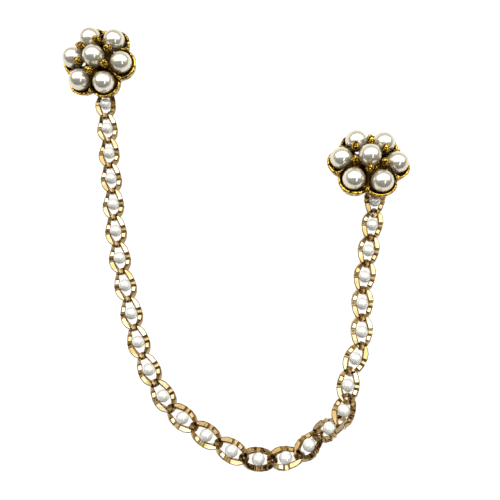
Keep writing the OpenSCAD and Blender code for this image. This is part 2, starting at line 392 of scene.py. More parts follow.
def wire_ring(radius, wire, round_ring, round_wire, place=(0, 0, 0), turn=(0, 0, 0)):
    """A ring of round wire, with so many segments round the ring and round the wire."""
    bpy.ops.mesh.primitive_torus_add(
        major_radius=radius,
        minor_radius=wire / 2,
        major_segments=round_ring,
        minor_segments=round_wire,
        location=place,
        rotation=turn,
    )
    return settle()


def ball(radius, fineness=2):
    """A ball of even triangles."""
    bpy.ops.mesh.primitive_ico_sphere_add(subdivisions=fineness, radius=radius)
    return bpy.context.object


def tidy(part):
    """Merges doubled points and turns every face outwards."""
    edit(part)
    bpy.ops.mesh.remove_doubles(threshold=0.004 * MM)
    bpy.ops.mesh.normals_make_consistent(inside=False)
    done()


def with_modifier(part, kind, **settings):
    """Adds a modifier with its settings and applies it."""
    choose(part)
    modifier = part.modifiers.new(kind.lower(), kind)
    for name, value in settings.items():
        setattr(modifier, name, value)
    bpy.ops.object.modifier_apply(modifier=modifier.name)


def soften(part, width, segments, sharp=50):
    """Bevels the edges that turn by more than so many degrees."""
    limit = math.radians(sharp)
    with_modifier(part, "BEVEL", width=width, segments=segments, limit_method="ANGLE", angle_limit=limit)


def cut_by(part, tool, operation):
    """Joins part with tool, or cuts it by tool, and removes tool."""
    with_modifier(part, "BOOLEAN", operation=operation, object=tool, solver="EXACT")
    bpy.data.objects.remove(tool)


def shade(part, degrees):
    """Smooth shading, with edges sharper than this left crisp."""
    choose(part)
    bpy.ops.object.shade_smooth_by_angle(angle=math.radians(degrees))
    return part


def copied(part, matrix):
    """A copy with its own mesh, placed by the matrix."""
    twin = part.copy()
    twin.data = part.data.copy()
    bpy.context.scene.collection.objects.link(twin)
    twin.data.transform(matrix)
    return twin


def joined(parts):
    """Joins the parts into the first one."""
    choose(parts[0])
    for part in parts:
        part.select_set(True)
    bpy.ops.object.join()
    return parts[0]


def mark_recess_and_shade(part, how_dark):
    """Stores for each point how dark its gold is, from 0, rubbed bright, to 1: mostly how deep it lies in
    the casting, and in places painted shade.
    """
    layer = part.data.attributes.new("recess_and_shade", "FLOAT", "POINT")
    layer.data.foreach_set("value", [how_dark(v.co) for v in part.data.vertices])


def hand_over(part, name, slot, *nodes):
    """Names a finished piece, gives it its finish, attaches it to the root, and hides the CAD nodes that it
    stands for.
    """
    part.name = part.data.name = name
    part.data.materials.clear()
    part.data.materials.append(finish_of(slot))
    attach(part, "root")
    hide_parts(*nodes)


def on_flowers(part, name, slot, node, place_by=lambda fit: Matrix()):
    """Hands over a copy of this piece on each flower, and removes the model. place_by gives the
    piece's place on the flower from the flower's fittings."""
    for side in SIDES:
        one = copied(part, flower_place(side) @ place_by(FITTINGS[side]))
        hand_over(one, f"{side}_{name}", slot, f"{side}_{node}")
    bpy.data.objects.remove(part)


def turned(degrees, axis="Z"):
    """A turn about an axis."""
    return Matrix.Rotation(math.radians(degrees), 4, axis)


def moved(x, y, z):
    """A move by this much."""
    return Matrix.Translation((x, y, z))


def between(value, low, high):
    """How far value is from low to high, from 0 to 1."""
    return min(1, max(0, (value - low) / (high - low)))


# ------------ places in the frame


def own_frame(centre, *axes):
    """A frame at centre with these three axes."""
    return Matrix.Translation(centre) @ Matrix(axes).transposed().to_4x4()


def flower_place(side):
    """The flower's own frame: its middle between the petal pearls, petal 1 along X, Z up."""
    boxes = [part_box(f"{side}_petal_pearl_{i + 1}") for i in range(PETALS)]
    pearls = [(low + high) / 2 for low, high in boxes]
    centre = sum(pearls, Vector()) / PETALS
    spokes = [p - centre for p in pearls]
    turns = (spokes[(i + 1) % PETALS].cross(spokes[i]) for i in range(PETALS))
    up = sum(turns, Vector()).normalized()
    across = (spokes[0] - spokes[0].project(up)).normalized()
    return own_frame(centre, across, up.cross(across), up)


def link_place(number):
    """The link's own frame: X across it, Y along it, Z out of it, from the spread of its points."""
    points = [v.co.copy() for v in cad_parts[f"link_{number:02d}"].data.vertices]
    centre = sum(points, Vector()) / len(points)
    spread = Matrix(((0, 0, 0),) * 3)
    for p in points:
        for i in range(3):
            for j in range(3):
                spread[i][j] += (p - centre)[i] * (p - centre)[j] / MM**2
    along = main_direction(spread)
    # What is left after the long way is taken out is widest across the link
    keep = Matrix.Identity(3) - Matrix([[a * b for b in along] for a in along])
    across = main_direction(keep @ spread @ keep)
    across = (across - across.project(along)).normalized()
    # The link's flats are on its upper face
    if across.cross(along).z < 0:
        across = -across
    return own_frame(centre, across, along, across.cross(along))


def main_direction(spread):
    """The direction of the widest spread, by repeated multiplication."""
    way = Vector((1, 0.7, 0.4))
    for _ in range(400):
        way = (spread @ way).normalized()
    return way


# ------------ sizes and colours


def metric(name, description, default, low, high):
    return FloatProperty(
        name=name,
        description=description,
        default=default * MM,
        min=low * MM,
        max=high * MM,
        precision=5,
        unit="LENGTH",
    )


def tone(name, description, code):
    return FloatVectorProperty(
        name=name, description=description, default=srgb(code)[:3], min=0, max=1, size=3, subtype="COLOR"
    )


class PinSizes(bpy.types.PropertyGroup):
    """Sizes of the pieces, in the flower's and the link's own frames"""

    pearl: metric("Flower pearl", "Diameter of a flower pearl", 7, 5, 9)
    pearl_bore: metric("Pearl bore", "Diameter of the bore for the peg", 1.1, 0.6, 2)
    petal_ring: metric("Petal ring", "Radius of the circle of petal pearls", 8.5, 8, 9)
    centre_rise: metric("Centre rise", "Height of the centre pearl over the petals", 2.6, 2, 4)
    lobe_centre: metric("Lobe centre", "Distance of a petal lobe's centre from the middle", 7.6, 7, 8)
    lobe: metric("Lobe", "Radius of a petal lobe at its rim", 5.25, 4, 6)
    lobe_taper: metric("Lobe taper", "How far the wall narrows down to the floor", 1, 0, 2)
    rim: metric("Rim", "Width of the raised rim", 0.9, 0.5, 1.5)
    rim_depth: metric("Rim depth", "Depth of the rim below the petal pearls' middle", 1.8, 1, 3)
    hammer: metric("Hammer marks", "Depth of the marks along the rim", 0.16, 0, 0.3)
    floor_low: metric("Floor underside", "Depth of the floor's underside", 4.3, 4, 5)
    floor: metric("Floor", "Thickness of the floor", 0.75, 0.4, 1)
    floor_middle: metric("Floor middle", "Radius of the floor's middle disc", 6.7, 6, 9)
    window: metric("Window", "Diameter of a round window in the floor", 1.6, 0.5, 2)
    window_ring: metric("Window ring", "Radius of the circle of windows", 6.7, 6, 7)
    stud: metric("Berry stud", "Diameter of a berry stud", 2.7, 1.5, 3)
    stud_ring: metric("Stud ring", "Distance of the berry studs from the middle", 5.35, 5, 6)
    stud_rise: metric("Stud rise", "Height of the studs over the petal pearls' middle", 3.4, 2, 4)
    claw: metric("Claw arm", "Diameter of a claw's arm", 0.55, 0.4, 1.2)
    claw_foot: metric("Claw foot", "Distance of the claws' feet from the middle", 10.31, 9, 11)
    foot_depth: metric("Foot depth", "Depth of the claws' feet", 0.9, 0, 2)
    nugget: metric("Foot nugget", "Diameter of the nugget at a claw's foot", 1.5, 1, 2)
    ring: metric("Chain ring", "Radius of the ring that takes the chain", 1.35, 1, 2)
    ring_wire: metric("Ring wire", "Diameter of that ring's wire", 0.8, 0.5, 1)
    chain_pearl: metric("Chain pearl", "Diameter of a chain pearl", 3.8, 3, 4)
    cross_pin: metric("Cross pin", "Diameter of the pin through a chain pearl", 0.5, 0.3, 0.8)
    link_length: metric("Link length", "Outer length of a link", 11, 9, 13)
    link_width: metric("Link width", "Outer width of a link", 6.5, 5, 8)
    wire: metric("Wire", "Thickness of a link's wire", 1, 0.7, 1.5)
    side_wire: metric("Side wire", "Width of the wire along a link's sides", 1.3, 1, 2)
    bar: metric("Bar", "Length of the bar pin", 16, 12, 20)
    bar_width: metric("Bar width", "Width of the bar pin", 2.6, 2, 4)
    stem: metric("Stem", "Diameter of the pin stem", 0.8, 0.5, 1.2)
    stem_drop: metric("Stem drop", "Depth of the stem under the bar", 2.3, 2, 3)
    flat_height: metric("High flats", "Height of the flats where a strand lies on top", 1.05, 0.6, 1.4)
    low_flat: metric("Low flats", "Height of the flats at a strand's low end", -0.15, -0.6, 0.4)
    flat_border: metric("Flat's border", "Width of the milled border round a flat", 0.25, 0, 0.4)
    flat_rise: metric("Flat's rise", "Height of a flat over its border", 0.13, 0, 0.2)
    link_twist: FloatProperty(
        name="Link twist",
        description="Turn of a link from one end to the other",
        default=math.radians(92.4),
        min=0,
        max=math.pi,
        unit="ROTATION",
    )
    pearl_sides: IntProperty(
        name="Pearl sides", description="Segments round a flower pearl", default=64, min=24, max=128
    )


class PinTones(bpy.types.PropertyGroup):
    """Colours of the finishes"""

    pearl: tone("Pearl", "Body colour of the pearls", "#f3f3ea")
    gold: tone("Antiqued gold", "Colour of the flowers' gold where it is rubbed bright", "#f2c954")
    pale_gold: tone("Pale gold", "Colour of the chain's gold", "#f5e8c2")
    card: tone("Card", "Colour of the surface", "#f6f6f6")


# ------------ pearls


def drilled_pearl(diameter, bore, sides, through):
    """A pearl drilled up its own Z, half way or right through, with a softened edge at the bore."""
    radius = diameter / 2
    # The edge is worn back by this much, which leaves the bore's mouth a little wider
    wear, widening = 0.08 * MM, 1.12
    mouth = bore / 2 * widening
    bpy.ops.mesh.primitive_uv_sphere_add(segments=sides, ring_count=sides // 2, radius=radius)
    pearl = bpy.context.object
    edit(pearl)
    for end in (-1, 1) if through else (-1,):
        # The cap over the bore comes off, and its edge is brought to the mouth's width
        pick(pearl, "FACE", lambda f: end * middle(f).z > 0 and middle(f).xy.length < bore * 0.62)
        bpy.ops.mesh.delete(type="FACE")
        pick(pearl, "EDGE", lambda e: e.is_boundary and end * middle(e).z > radius / 2)
        rim = next(v.co for v in bmesh.from_edit_mesh(pearl.data).verts if v.select)
        share, level = mouth / rim.xy.length, rim.z
        stretch(share, share, 1, about=(0, 0, level))
        bpy.ops.transform.translate(value=(0, 0, end * math.sqrt(radius**2 - mouth**2) - level))
        extrude(z=-end * wear)
        stretch(1 / widening, 1 / widening, 1)
        # A half-drilled bore ends just past the pearl's middle
        extrude(z=-end * (radius - wear if through else radius + 0.1 * MM))
        if not through:
            bpy.ops.mesh.edge_face_add()
    if through:
        # The two halves of the bore are brought to the middle and merged there
        pick(pearl, "VERT", lambda v: v.co.xy.length < bore * 0.56 and abs(v.co.z) < radius * 0.3)
        stretch(1, 1, 0)
    done()
    tidy(pearl)
    return shade(pearl, 40)


class PIN_OT_flower_pearls(bpy.types.Operator):
    """Seven drilled pearls on each flower"""

    bl_idname = "pin.flower_pearls"
    bl_label = "Flower pearls"

    def execute(self, context):
        sizes = context.scene.pin_sizes
        pearl = drilled_pearl(sizes.pearl, sizes.pearl_bore, sizes.pearl_sides, through=False)
        for side in SIDES:
            place = flower_place(side)
            spots = {f"petal_pearl_{i + 1}": (sizes.petal_ring, 0, i) for i in range(PETALS)}
            spots["centre_pearl"] = (0, sizes.centre_rise, 0)
            for name, (out, rise, petal) in spots.items():
                one = copied(pearl, place @ turned(-PETAL_TURN * petal) @ moved(out, 0, rise))
                hand_over(one, f"{side}_flower_{name}", "flower_pearl", f"{side}_{name}")
        bpy.data.objects.remove(pearl)
        return {"FINISHED"}


class PIN_OT_chain_pearls(bpy.types.Operator):
    """A small pearl in every link, drilled across"""

    bl_idname = "pin.chain_pearls"
    bl_label = "Chain pearls"

    def execute(self, context):
        sizes = context.scene.pin_sizes
        bore = sizes.cross_pin + 0.1 * MM
        pearl = drilled_pearl(sizes.chain_pearl, bore, sizes.pearl_sides * 3 // 4, through=True)
        pearl.data.transform(turned(90, "Y"))
        each = LINKS // PEARL_GROUPS
        for group in range(PEARL_GROUPS):
            row = [copied(pearl, link_place(each * group + i + 1)) for i in range(each)]
            name, node = f"chain_pearl_row_{group + 1}", f"chain_pearls_{group + 1}"
            hand_over(joined(row), name, "chain_pearl", node)
        bpy.data.objects.remove(pearl)
        return {"FINISHED"}


# ------------ chain


def oval_strip(sizes):
    """The flat oval that a link is bent from, with edges across it only where it needs them."""
    half_width, half_length = sizes.link_width / 2, sizes.link_length / 2
    bpy.ops.mesh.primitive_circle_add(vertices=72, radius=half_width)
    link = bpy.context.object
    edit(link)
    stretch(1, half_length / half_width, 1)
    extrude()
    inside = (1 - sizes.side_wire / half_width, 1 - sizes.wire / half_length, 1)
    stretch(*inside)

    def station(vertex):
        """How far round the oval a point lies from the link's side, in degrees, and if inside."""
        outer = Vector((vertex.co.x / half_width, vertex.co.y / half_length))
        inner = Vector((outer.x / inside[0], outer.y / inside[1]))
        way = min((outer, inner), key=lambda g: abs(g.length - 1))
        return math.degrees(math.asin(min(1, abs(way.y) / way.length))), way is inner

    def crosses_run(edge):
        """If an edge crosses the strip within a straight run, where it isn't needed."""
        here, there = [station(v)[0] for v in edge.verts]
        ends_run = min(abs(here - k) for k in RUN_ENDS) <= 1
        return abs(here - there) < 0.5 and here < ROUND_FROM and not ends_run

    pick(link, "EDGE", crosses_run)
    bpy.ops.mesh.dissolve_edges(use_verts=True)
    for run_end, sign, *spreads in STRIP_WIDTHS:
        for is_inner, spread in zip((True, False), spreads):
            pick(
                link,
                "VERT",
                lambda v: station(v)[1] == is_inner
                and abs(station(v)[0] - run_end) < 1
                and sign * v.co.x * v.co.y > 0,
            )
            stretch(spread, 1, 1)
    # The ends are narrow, and thicker inwards, where the next link rests
    pick(link, "VERT", lambda v: station(v)[0] > ROUND_FROM)
    stretch(0.8, 1, 1)
    pick(link, "VERT", lambda v: station(v)[1] and station(v)[0] > TIP_FROM)
    stretch(1, 0.94, 1)
    done()
    return link


def flat_cut_link(sizes):
    """One link: an oval strip, twisted, with broad flats cut on its two faces. Each strand has a
    long flat where it lies on top, a slope down past the pearl, and a short flat at its low end."""
    link = oval_strip(sizes)
    with_modifier(link, "SOLIDIFY", thickness=sizes.wire * 0.94, offset=0)
    tidy(link)
    # The strip's upper and lower faces keep their names through the twist
    side = link.data.attributes.new("side", "INT", "FACE")
    side.data.foreach_set("value", [round(f.normal.z) for f in link.data.polygons])
    with_modifier(link, "SIMPLE_DEFORM", deform_method="TWIST", deform_axis="Y", angle=sizes.link_twist)
    edit(link)
    past_pearl = 1.1 * MM
    for up in (1, -1):
        # Where a strand lies on top, X and Y have the same sign, and on the underside the opposite
        for high, level, reach in ((up, sizes.flat_height, 4.6 * MM), (-up, sizes.low_flat, 2.6 * MM)):
            side = bmesh.from_edit_mesh(link.data).faces.layers.int["side"]
            pick(
                link,
                "FACE",
                lambda f: f[side] == up
                and high * middle(f).x * middle(f).y > 0
                and past_pearl < abs(middle(f).y) < reach,
            )
            stretch(1, 1, 0, about=(0, 0, up * (level - sizes.flat_rise)))
            # The flat stands a little proud, inside a milled border
            bpy.ops.mesh.inset(thickness=sizes.flat_border, depth=sizes.flat_rise)
    done()
    link.data.attributes.remove(link.data.attributes["side"])
    return link


def mark_cut(part):
    """Stores for each face how bright it is cut and painted: 1 on the flats, less on the slopes between,
    and below 0 on the flats' borders, which are painted darkest, as grime and painted shade."""
    layer = part.data.attributes.new("cut", "FLOAT", "FACE")
    shares = []
    for face in part.data.polygons:
        level, along = abs(face.normal.z), abs(face.center.y)
        if level > 0.97 and along > 0.9 * MM:
            # A flat. One of the four is rougher and more rippled, and painted darker: painted shade
            shares.append(0.55 if face.center.x < 0 and face.center.y < 0 else 1)
        elif level > 0.8 and 0.9 * MM < along < 4.4 * MM:
            # A flat's border
            shares.append(-0.5)
        elif level > 0.8 and along < 0.4 * MM:
            # The strand beside the pearl
            shares.append(0.45)
        elif 2.5 * MM < along < 3.8 * MM and level > 0.4:
            # The slope off the end of a flat
            shares.append(0.5)
        elif along > 3.8 * MM:
            # The rounded ends, where the links rub
            shares.append(0.35 if level > 0.6 else 0.1)
        else:
            shares.append(0)
    layer.data.foreach_set("value", shares)


class PIN_OT_links(bpy.types.Operator):
    """The twisted, diamond-cut links, each with its cross pin"""

    bl_idname = "pin.links"
    bl_label = "Chain links"

    def execute(self, context):
        sizes = context.scene.pin_sizes
        link = flat_cut_link(sizes)
        soften(link, 0.14 * MM, 1)
        pin = rod(sizes.cross_pin / 2, sizes.link_width - sizes.side_wire, 12, turn=ALONG_X)
        # The pin's ends spread where they are soldered to the wire
        edit(pin)
        pick(pin, "FACE", lambda f: abs(f.normal.x) > 0.9)
        bpy.ops.mesh.inset(thickness=0.06 * MM)
        done()
        mark_cut(link)
        mark_cut(pin)
        link = joined([link, pin])
        shade(link, 20)
        for number in range(1, LINKS + 1):
            one = copied(link, Matrix())
            # Each link's strands and sides are painted lighter or darker: painted light and shade for how
            # the link lies to the light
            left, right, sides = LINK_PAINTED_LIGHT.get(number, (1, 1, 0))
            layer = one.data.attributes["cut"]
            shares = [
                d.value * (left if f.center.x < 0 else right) if d.value > 0 else d.value or sides
                for d, f in zip(layer.data, one.data.polygons)
            ]
            layer.data.foreach_set("value", shares)
            one.data.transform(link_place(number))
            hand_over(one, f"chain_link_{number:02d}", "pale_gold", f"link_{number:02d}")
        bpy.data.objects.remove(link)
        return {"FINISHED"}


# ------------ settings


def petal_wall(sizes):
    """One petal's wall round its own middle: it leans out and ends in a round crest."""
    crest = sizes.lobe - sizes.rim / 2
    place = (crest, 0, -sizes.rim_depth)
    bpy.ops.mesh.primitive_circle_add(
        vertices=16, radius=sizes.rim / 2, location=place, rotation=ALONG_Y
    )
    wall = settle()
    edit(wall)
    pick(wall, "VERT", lambda v: v.co.z < -sizes.rim_depth - 0.01 * MM)
    bpy.ops.mesh.delete(type="VERT")
    steps = 5
    down = (-sizes.lobe_taper / steps, 0, (sizes.rim_depth - sizes.floor_low) / steps)
    for _ in range(steps):
        pick(wall, "VERT", lambda v: len(v.link_edges) == 1)
        bpy.ops.mesh.extrude_vertices_move(TRANSFORM_OT_translate={"value": down})
    pick(wall, "VERT", lambda v: len(v.link_edges) == 1)
    bpy.ops.mesh.edge_face_add()
    bpy.ops.mesh.select_all(action="SELECT")
    bpy.ops.mesh.edge_face_add()
    # The crests of two neighbours cross at this distance from the flower's middle
    slant = math.cos(math.radians(PETAL_TURN / 2))
    crossing = sizes.lobe_centre * slant + math.sqrt(crest**2 - (sizes.lobe_centre / 2) ** 2)
    half = math.atan2(crossing / 2, crossing * slant - sizes.lobe_centre)
    bpy.ops.mesh.spin(steps=60, angle=2 * half, center=(0, 0, 0), axis=(0, 0, 1))
    bpy.ops.mesh.select_all(action="SELECT")
    bpy.ops.mesh.remove_doubles(threshold=0.001 * MM)
    close_ends()
    done()
    tidy(wall)
    # The spin runs to one side of X, so the wall is turned back to stand astride it
    mean = sum((v.co for v in wall.data.vertices), Vector())
    wall.data.transform(Matrix.Rotation(-math.atan2(mean.y, mean.x), 4, "Z"))
    return wall


class PIN_OT_petal_rims(bpy.types.Operator):
    """The six scalloped walls of each setting, with their hammered crests"""

    bl_idname = "pin.petal_rims"
    bl_label = "Petal rims"

    def execute(self, context):
        sizes = context.scene.pin_sizes
        wall = petal_wall(sizes)
        to_lobe = moved(sizes.lobe_centre, 0, 0)
        walls = [copied(wall, turned(PETAL_TURN * i) @ to_lobe) for i in range(PETALS)]
        bpy.data.objects.remove(wall)
        rims = joined(walls)
        for name, kind, grain, strength, level in (
            ("hammer_marks", "VORONOI", 0.8 * MM, -sizes.hammer, 0.4),
            ("casting_pits", "CLOUDS", 0.4 * MM, 0.08 * MM, 0.5),
        ):
            marks = bpy.data.textures.new(name, kind)
            marks.noise_scale = grain
            push = {"strength": strength, "mid_level": level, "texture_coords": "LOCAL"}
            with_modifier(rims, "DISPLACE", texture=marks, **push)

        def how_dark(point):
            azimuth = math.degrees(math.atan2(point.y, point.x))
            petal = round(azimuth / PETAL_TURN) * PETAL_TURN
            lobe = turned(petal) @ Vector((sizes.lobe_centre, 0, 0))
            out = (point.xy - lobe.xy).length
            below = max(0, -sizes.rim_depth + 0.2 * MM - point.z)
            inward = sizes.lobe_taper * below / (sizes.floor_low - sizes.rim_depth)
            line = sizes.lobe - sizes.rim / 2 - inward
            # The notches between the petals are dark
            depth = 0.14 + 0.5 * between(abs(azimuth - petal), 20, 27)
            if out < line:
                return depth + between(line - out, 0.14 * MM, 0.4 * MM)
            # The outside is brown, and lower down it is painted darker: painted shade
            depth = 0.6 * depth + 0.2 * between(out - line, 0.12 * MM, 0.3 * MM)
            return depth + 0.12 * between(below, 0, 2 * MM)

        mark_recess_and_shade(rims, how_dark)
        shade(rims, 50)
        for side in SIDES:
            place = flower_place(side)
            one = copied(rims, place)
            # The rims on the far side are painted browner: painted shade
            for stored, v in zip(one.data.attributes["recess_and_shade"].data, one.data.vertices):
                stored.value += 0.3 * between(v.co.y - place.translation.y, 3 * MM, 8 * MM)
            hand_over(one, f"{side}_petal_rims", "antique_gold", f"{side}_setting")
        bpy.data.objects.remove(rims)
        return {"FINISHED"}


class PIN_OT_setting_floors(bpy.types.Operator):
    """The openwork floor of each setting, with the post and pegs that hold the pearls"""

    bl_idname = "pin.setting_floors"
    bl_label = "Setting floors"

    def execute(self, context):
        sizes = context.scene.pin_sizes
        low = -sizes.floor_low
        high = low + sizes.floor
        floor = disc(sizes.floor_middle, low, high, 96)
        for i in range(PETALS):
            lobe = disc(sizes.lobe - sizes.lobe_taper - 0.2 * MM, low, high, 48, x=sizes.lobe_centre)
            lobe.data.transform(turned(PETAL_TURN * i))
            cut_by(floor, lobe, "UNION")
        # The fourth petal has no window, because the chain's ring is soldered there
        for i in (0, 1, 2, 4, 5):
            window = disc(sizes.window / 2, low - MM, high + MM, 24, x=sizes.window_ring)
            window.data.transform(turned(PETAL_TURN * i))
            cut_by(floor, window, "DIFFERENCE")
        soften(floor, 0.1 * MM, 2)
        tidy(floor)

        # A peg in a collar holds each pearl
        peg_radius, collar_radius, sunk = 0.5 * MM, 1.3 * MM, high - 0.2 * MM
        pegs = []
        for i in range(PETALS):
            peg = disc(peg_radius, sunk, 0, 16, x=sizes.petal_ring)
            collar = disc(collar_radius, sunk, high + 0.12 * MM, 32, x=sizes.petal_ring)
            soften(collar, 0.12 * MM, 2, sharp=30)
            peg.data.transform(turned(PETAL_TURN * i))
            collar.data.transform(turned(PETAL_TURN * i))
            pegs += [peg, collar]
        top = sizes.centre_rise - sizes.pearl / 2 - 0.4 * MM
        post = cone(2.4 * MM, 1.2 * MM, high - 0.3 * MM, top, 40)
        # A cup in the post's top takes the centre pearl
        edit(post)
        pick(post, "FACE", lambda f: f.normal.z > 0.9)
        bpy.ops.mesh.inset(thickness=0.25 * MM)
        extrude(z=-0.2 * MM)
        done()
        soften(post, 0.08 * MM, 2, sharp=30)
        peg = disc(peg_radius, top - 0.5 * MM, sizes.centre_rise, 16)
        floor = joined([floor, *pegs, post, peg])
        mark_recess_and_shade(floor, lambda p: 0.45 if p.z < low + 0.2 * MM else 0.8)
        shade(floor, 40)
        on_flowers(floor, "setting_floor", "antique_gold", "setting")
        return {"FINISHED"}


def berry(radius, grain, rows):
    """A berry of grains round a core. rows gives each row's latitude and number of grains."""
    core = ball(radius - grain * 0.75)
    seed = ball(grain)
    edit(seed)
    # A grain is a drop, flatter on its outside
    pick(seed, "VERT", lambda v: v.co.z > 0)
    stretch(1, 1, 0.82)
    done()
    grains = []
    for row, (latitude, count) in enumerate(rows):
        for i in range(count):
            way = turned(360 * (i + 0.5 * (row % 2)) / count) @ turned(90 - latitude, "Y")
            grains.append(copied(seed, way @ moved(0, 0, radius - grain * 0.9)))
    bpy.data.objects.remove(seed)
    return joined([core, *grains])


def berry_stud(sizes):
    """A berry under a wide, flat grain, on a smaller berry."""
    radius, small = sizes.stud / 2, sizes.stud / 2 - 0.35 * MM
    stud = berry(radius, 0.45 * MM, ((28, 7), (-12, 8), (-50, 5)))
    mark_recess_and_shade(stud, lambda p: between(radius - p.length, 0.04 * MM, 0.28 * MM))
    cap = ball(0.9 * MM, fineness=3)
    edit(cap)
    stretch(1, 1, 0.5)
    bpy.ops.transform.translate(value=(0, 0, radius - 0.4 * MM))
    done()
    # The cap is painted brown all over: a painted dark reflection on the stud's top
    mark_recess_and_shade(cap, lambda p: 0.46)
    under = berry(small, 0.38 * MM, ((15, 6), (-35, 5)))
    mark_recess_and_shade(under, lambda p: 0.2 + between(small - p.length, 0.04 * MM, 0.28 * MM))
    under.data.transform(moved(0, 0, -1.35 * MM))
    return joined([stud, cap, under])


def foot_nugget(sizes):
    """The nugget of a few grains at a claw's foot, black underneath."""
    radius = sizes.nugget / 2
    nugget = berry(radius, 0.32 * MM, ((90, 1), (30, 4), (-25, 4)))

    def how_dark(point):
        return 0.05 + between(radius - point.length, 0.08 * MM, 0.35 * MM) + between(-point.z, 0, 0.6 * MM)

    mark_recess_and_shade(nugget, how_dark)
    return nugget


def spanning(low, high):
    """The place of a shape that stands about its middle, once it is laid from low to high."""
    run = high - low
    return moved(*((low + high) / 2)) @ Matrix.Rotation(math.atan2(run.x, run.z), 4, "Y")


def claw_arm(sizes, foot, head):
    """The claw's arm, thickest at its foot, with a waist."""
    length = (head - foot).length
    arm = rod(sizes.claw / 2, length, 16)
    edit(arm)
    bpy.ops.mesh.subdivide(number_cuts=5)
    for share, width in ((-0.5, 1.15), (-0.17, 0.85), (0.17, 0.8), (0.5, 1)):
        level = share * length
        pick(arm, "VERT", lambda v: abs(v.co.z - level) < length * 0.09)
        stretch(width, width, 1, about=(0, 0, level))
    done()
    # Only the outer half of its upper side was rubbed bright
    mark_recess_and_shade(arm, lambda p: 0.95 - 0.8 * between(p.x, 0, 0.2 * MM) * between(-p.z, 0.2 * MM, 1.4 * MM))
    arm.data.transform(spanning(foot, head))
    return arm


def claw_root(sizes):
    """The claw's root, which fills the notch between two walls from the floor to the nugget."""
    low = Vector((8.5 * MM, 0, 0.1 * MM - sizes.floor_low))
    high = Vector((sizes.claw_foot - 0.2 * MM, 0, -sizes.foot_depth))
    length = (high - low).length
    root = cone(1.3 * MM, 0.55 * MM, -length / 2, length / 2, 20)
    edit(root)
    # It is pinched along the notch and swells at its middle
    bpy.ops.mesh.subdivide(number_cuts=3)
    stretch(0.6, 1, 1)
    pick(root, "VERT", lambda v: abs(v.co.z) < length * 0.2)
    stretch(1.12, 1.08, 1)
    done()
    mark_recess_and_shade(root, lambda p: 0.28 + 0.6 * between(-p.x, -0.1 * MM, 0.3 * MM))
    root.data.transform(spanning(low, high))
    return root


class PIN_OT_claws(bpy.types.Operator):
    """The claws between the pearls: a foot nugget, an arm and a berry stud each"""

    bl_idname = "pin.claws"
    bl_label = "Claws and berry studs"

    def execute(self, context):
        sizes = context.scene.pin_sizes
        foot = Vector((sizes.claw_foot, 0, -sizes.foot_depth))
        head = Vector((sizes.stud_ring, 0, sizes.stud_rise))
        stud = berry_stud(sizes)
        stud.data.transform(moved(*head))
        nugget = foot_nugget(sizes)
        nugget.data.transform(moved(foot.x, 0, foot.z + 0.25 * MM))
        claw = joined([claw_arm(sizes, foot, head), stud, nugget, claw_root(sizes)])
        shade(claw, 50)
        for side in SIDES:
            place = flower_place(side)
            claws = joined([copied(claw, place @ turned(PETAL_TURN * (i + 0.5))) for i in range(PETALS)])
            hand_over(claws, f"{side}_claws", "antique_gold", f"{side}_setting")
        bpy.data.objects.remove(claw)
        return {"FINISHED"}


class PIN_OT_chain_rings(bpy.types.Operator):
    """The ring under each setting that takes the chain"""

    bl_idname = "pin.chain_rings"
    bl_label = "Chain rings"

    def execute(self, context):
        sizes = context.scene.pin_sizes
        ring = wire_ring(sizes.ring, sizes.ring_wire, 48, 16)
        edit(ring)
        # The solder that fixes the ring to the floor spreads along it
        pick(ring, "FACE", lambda f: middle(f).y > sizes.ring * 0.9)
        stretch(1.25, 1, 1.3, about=(0, sizes.ring, 0))
        done()
        ring.data.transform(turned(90, "X"))
        soften(ring, 0.02 * MM, 1, sharp=40)
        mark_recess_and_shade(ring, lambda p: 0.3 + 0.5 * between(p.z, 0.6 * MM, 1.6 * MM))
        shade(ring, 50)
        level = -sizes.floor_low - sizes.ring - 0.02 * MM

        def under_floor(fit):
            spot = turned(fit["ring_to"]) @ Vector((fit["ring_out"] * MM, 0, level))
            return moved(*spot) @ turned(fit["ring_plane"])

        on_flowers(ring, "chain_ring", "antique_gold", "setting", under_floor)
        return {"FINISHED"}


# ------------ bar pins


def stamped_bar(sizes):
    """The bar, with round ends. Its upper face is at Z 0."""
    thick = 0.6 * MM
    bar = block((sizes.bar, sizes.bar_width, thick), (0, 0, -thick / 2))
    edit(bar)
    pick(bar, "EDGE", lambda e: abs(e.verts[0].co.z - e.verts[1].co.z) > thick / 2)
    bpy.ops.mesh.bevel(offset=1.15 * MM, segments=6)
    # The stamp leaves a shallow tray along the underside
    pick(bar, "FACE", lambda f: f.normal.z < -0.9)
    bpy.ops.mesh.inset(thickness=0.35 * MM)
    extrude(z=0.12 * MM)
    done()
    soften(bar, 0.07 * MM, 2)
    tidy(bar)
    return bar


def hinge_lug(x, y):
    """One of the two lugs that hold the hinge's rivet, with a round lower end."""

    def crosses_tip(edge):
        """If this edge runs across the lug's lower end."""
        return middle(edge).z < -2.8 * MM and abs(edge.verts[0].co.y - edge.verts[1].co.y) > 0.1 * MM

    lug = block((1.6 * MM, 0.5 * MM, 2.8 * MM), (x, y, -1.7 * MM))
    edit(lug)
    pick(lug, "EDGE", crosses_tip)
    bpy.ops.mesh.bevel(offset=0.78 * MM, segments=6)
    done()
    soften(lug, 0.05 * MM, 1)
    return lug


